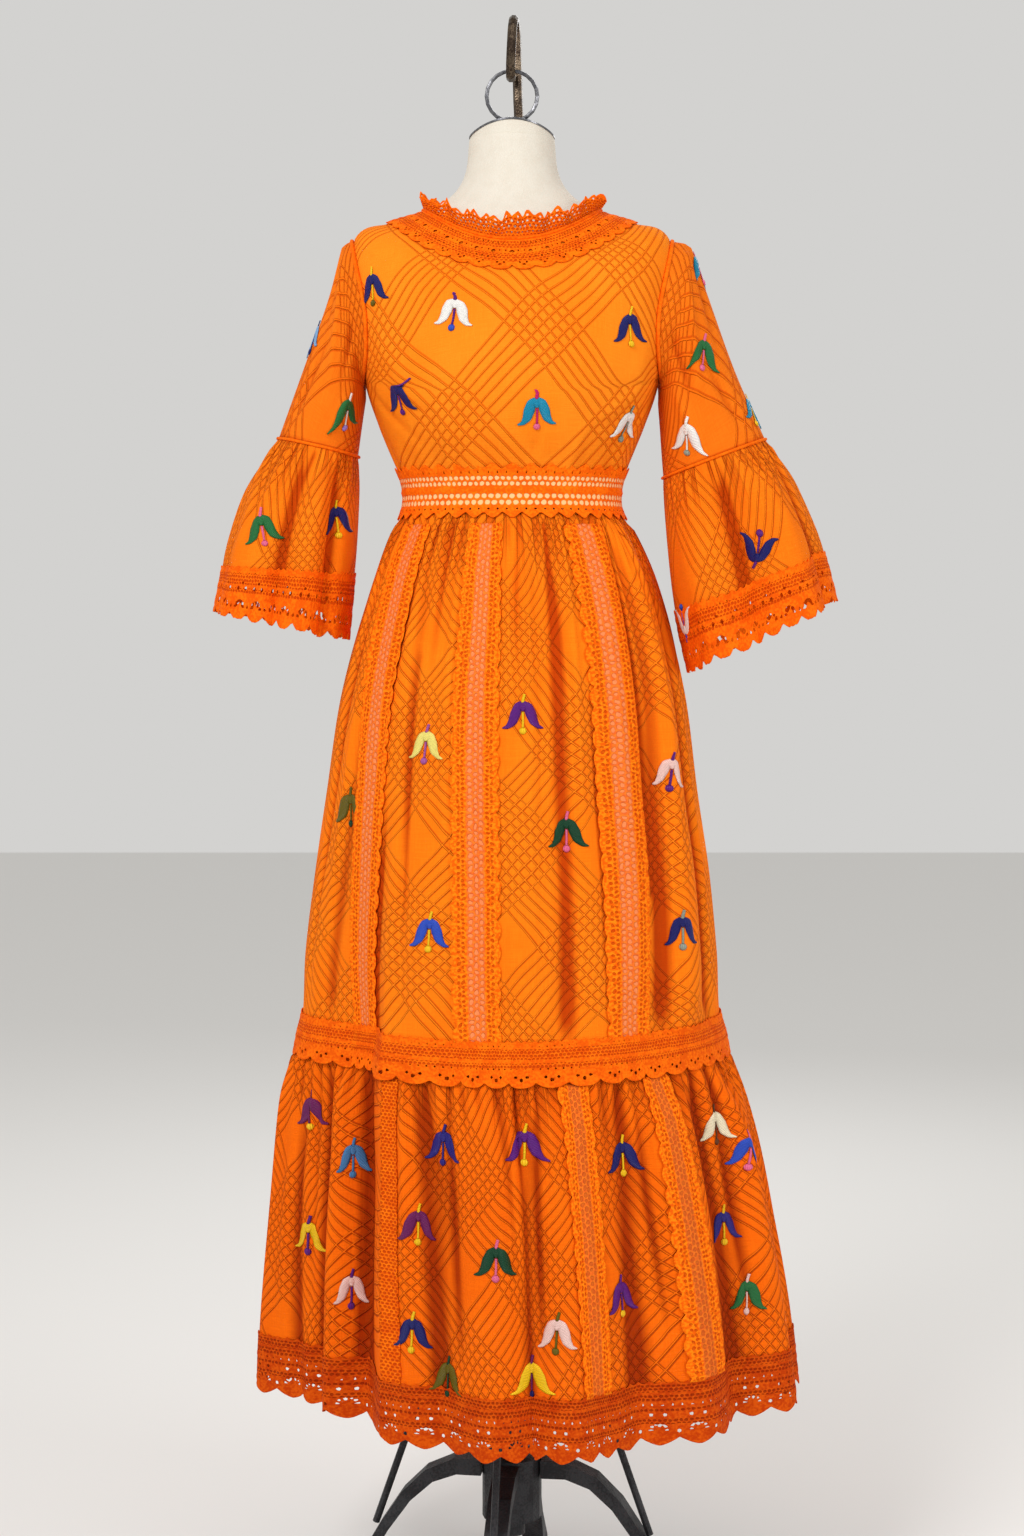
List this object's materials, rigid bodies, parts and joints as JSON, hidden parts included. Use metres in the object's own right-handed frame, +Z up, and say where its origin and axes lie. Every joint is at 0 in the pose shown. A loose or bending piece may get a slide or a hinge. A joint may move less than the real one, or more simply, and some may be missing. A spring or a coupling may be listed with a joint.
{
  "type": "lace maxi dress on a dress form",
  "caption": "Long pintucked voile dress with lace collar, bell sleeves, open lace waist, gathered tiers and scalloped lace hem, worn by a limbless form on a cast stand",
  "frame": {"origin": "On the floor, at the middle of the bounding box seen from above, 15.5 mm to +X and 1.4 mm to -Y of the form's own axis", "axes": "+Z up the pole, -Y the front of the dress, +X to the right of someone who faces the front"},
  "size_m": [0.722, 0.5811, 1.8341],
  "materials": {
    "voile": "semi-sheer plain cotton voile with fine pintucks, matt",
    "lace": "openwork cotton lace, dyed with the cloth",
    "form": "smooth cream jersey over the padded form",
    "steel": "worn grey steel",
    "bronze": "dark aged bronze",
    "iron": "dark cast iron, satin"
  },
  "bodies": {
    "root": {"form_torso": "form", "neck_cap": "steel", "neck_ring": "steel", "hanging_hook": "bronze", "stand_pole": "iron", "stand_hub": "iron", "stand_brace_collar": "iron", "stand_leg_front": "iron", "stand_leg_right": "iron", "stand_leg_back": "iron", "stand_leg_left": "iron", "stand_brace_front": "iron", "stand_brace_right": "iron", "stand_brace_back": "iron", "stand_brace_left": "iron", "bodice_front": "voile", "bodice_back": "voile", "sleeve_left": "voile", "sleeve_right": "voile", "flounce_left": "voile", "flounce_right": "voile", "upper_skirt_front": "voile", "upper_skirt_back": "voile", "lower_skirt_front": "voile", "lower_skirt_back": "voile", "collar_lace": "lace", "neck_frill": "lace", "flounce_lace_left": "lace", "flounce_lace_right": "lace", "waist_lace_front": "lace", "waist_lace_back": "lace", "upper_lace_front_1": "lace", "upper_lace_front_2": "lace", "upper_lace_front_3": "lace", "upper_lace_back_1": "lace", "upper_lace_back_2": "lace", "upper_lace_back_3": "lace", "lower_lace_front_1": "lace", "lower_lace_front_2": "lace", "lower_lace_front_3": "lace", "lower_lace_back_1": "lace", "lower_lace_back_2": "lace", "lower_lace_back_3": "lace", "tier_lace_front": "lace", "tier_lace_back": "lace", "hem_lace_front": "lace", "hem_lace_back": "lace"}
  },
  "joints": []
}
